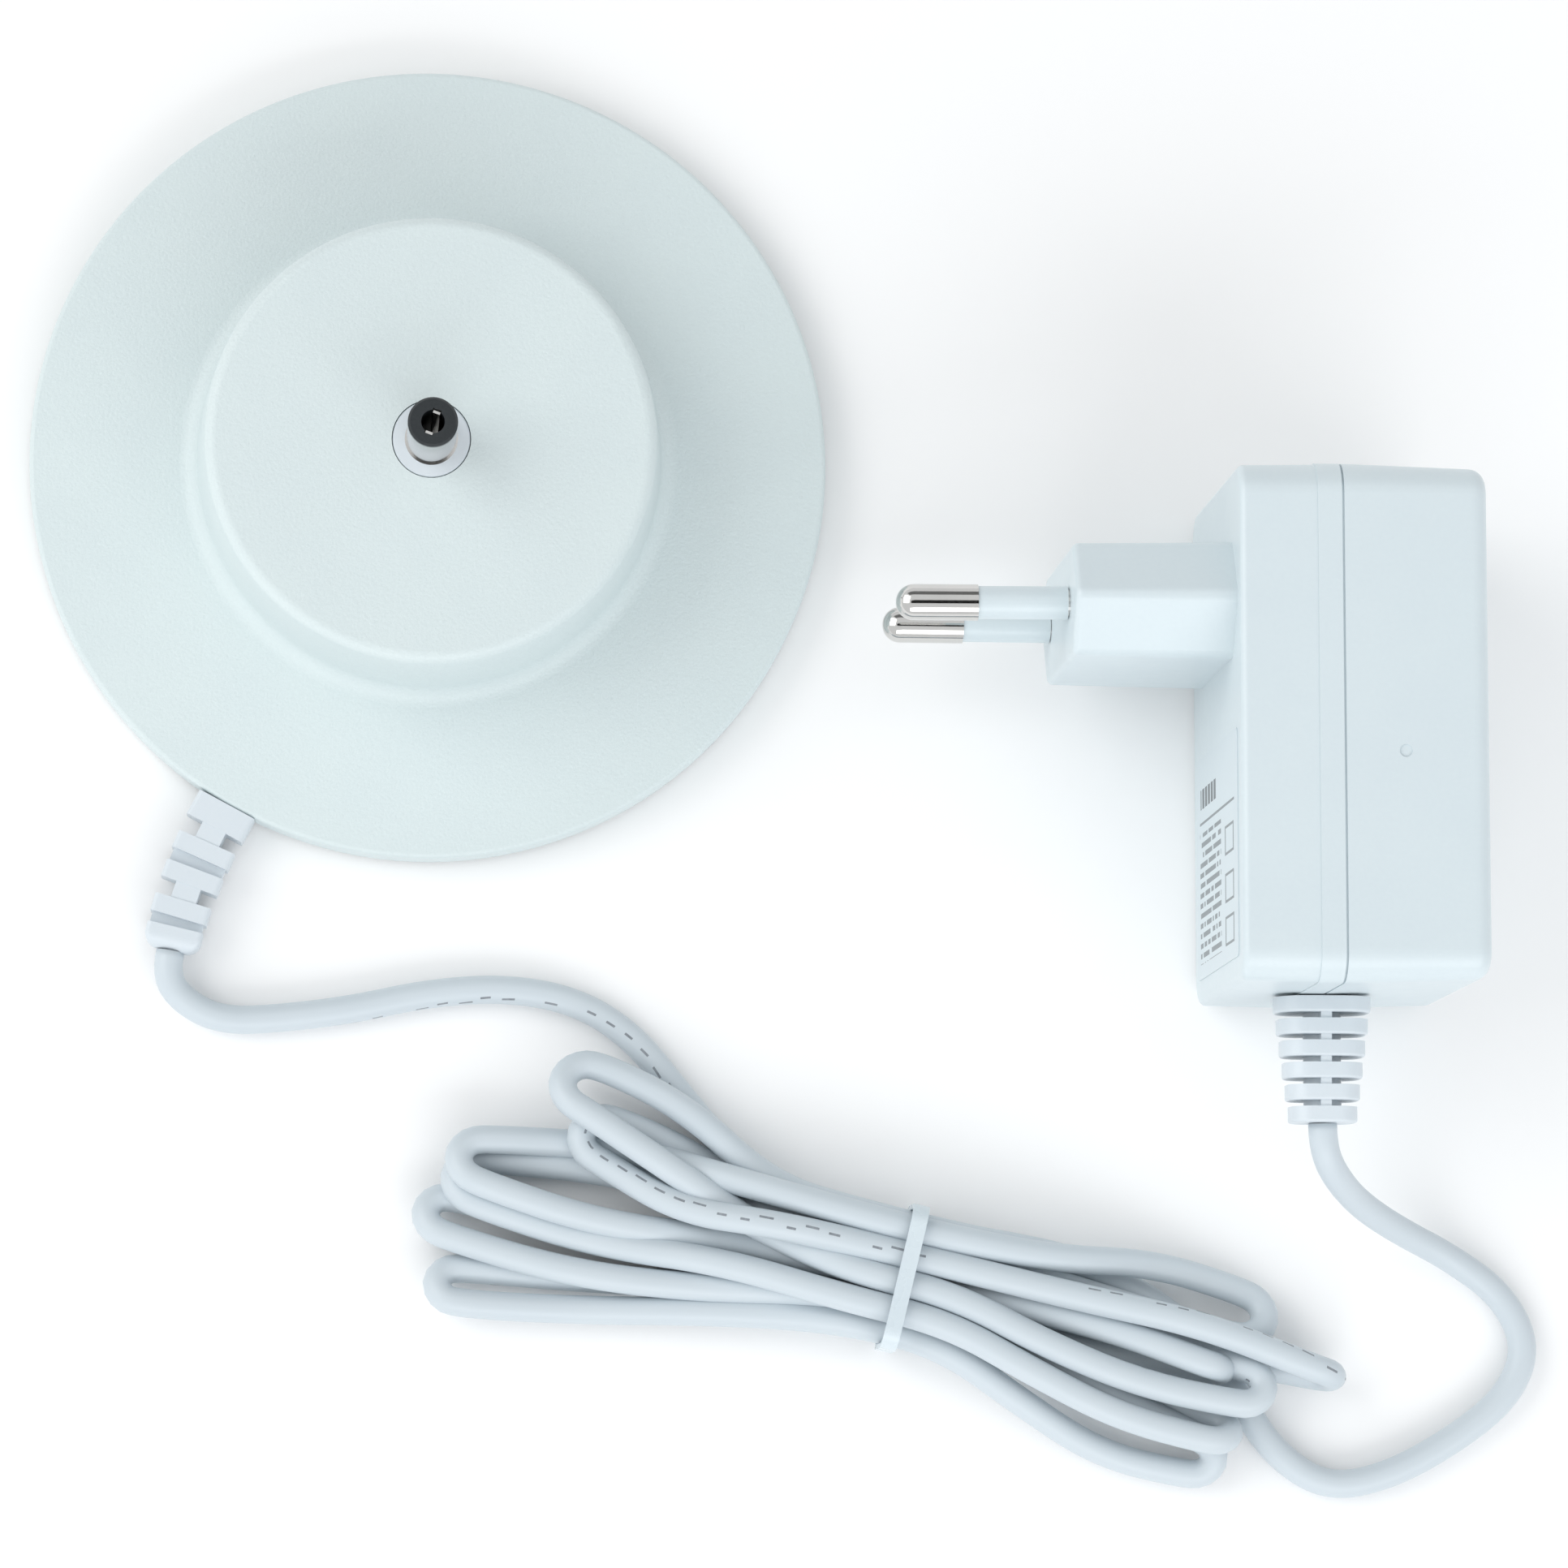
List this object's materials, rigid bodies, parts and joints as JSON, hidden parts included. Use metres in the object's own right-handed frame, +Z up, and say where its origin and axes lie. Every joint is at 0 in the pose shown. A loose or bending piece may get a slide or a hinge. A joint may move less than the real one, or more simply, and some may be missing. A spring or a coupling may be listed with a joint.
{
  "type": "charging stand with plug-in power supply",
  "caption": "Round white charging stand with an upright barrel plug, joined by a tied round cord to a two-pin plug-in power supply.",
  "frame": {"origin": "centre of the round stand, on the surface it stands on", "axes": "+Z up out of the stand along its barrel plug, +X towards the power supply"},
  "size_m": [0.1712, 0.1623, 0.04],
  "materials": {
    "stand_plastic": "matt white moulded ABS",
    "adapter_plastic": "semi-gloss white polycarbonate",
    "cord_pvc": "smooth white PVC",
    "tie_plastic": "white plastic-coated band",
    "plated_pin": "bright nickel plate",
    "plated_contact": "bright nickel plate",
    "black_insulator": "black moulded nylon",
    "foot_rubber": "grey rubber",
    "screw_steel": "zinc-plated steel",
    "ballast_steel": "galvanised steel plate",
    "lead_red": "red PVC core",
    "lead_black": "black PVC core",
    "label_film": "printed silver-grey film",
    "board_laminate": "green solder mask",
    "ferrite": "sintered ferrite",
    "winding_tape": "yellow polyester tape",
    "capacitor_sleeve": "shrink sleeve",
    "resistor_body": "lacquered ceramic",
    "chip_epoxy": "moulded epoxy",
    "blue_ceramic": "lacquered disc"
  },
  "bodies": {
    "root": {"base_top_shell": "stand_plastic", "base_bottom_cover": "stand_plastic", "cover_screws": "screw_steel", "rubber_feet": "foot_rubber", "ballast_plate": "ballast_steel", "plug_body": "cord_pvc", "barrel_sleeve": "plated_contact", "barrel_insulator": "black_insulator", "fork_contact": "plated_contact", "plug_retainer": "stand_plastic", "retainer_screws": "screw_steel", "base_lead_positive": "lead_red", "base_lead_negative": "lead_black", "base_strain_relief": "cord_pvc", "cord_base_run": "cord_pvc", "cord_hank": "cord_pvc", "hank_tie": "tie_plastic", "cord_adapter_run": "cord_pvc", "adapter_front_shell": "adapter_plastic", "adapter_rear_shell": "adapter_plastic", "contact_pins": "plated_pin", "pin_sleeves": "adapter_plastic", "rating_label": "label_film", "adapter_strain_relief": "cord_pvc", "pin_leads": "lead_black", "output_leads": "lead_red", "circuit_board": "board_laminate", "transformer_core": "ferrite", "transformer_bobbin": "black_insulator", "transformer_winding": "winding_tape", "input_capacitors": "capacitor_sleeve", "output_capacitor": "capacitor_sleeve", "fuse_resistor": "resistor_body", "bridge_rectifier": "chip_epoxy", "controller_chip": "chip_epoxy", "optocoupler": "chip_epoxy", "output_diode": "chip_epoxy", "y_capacitor": "blue_ceramic"}
  },
  "joints": []
}
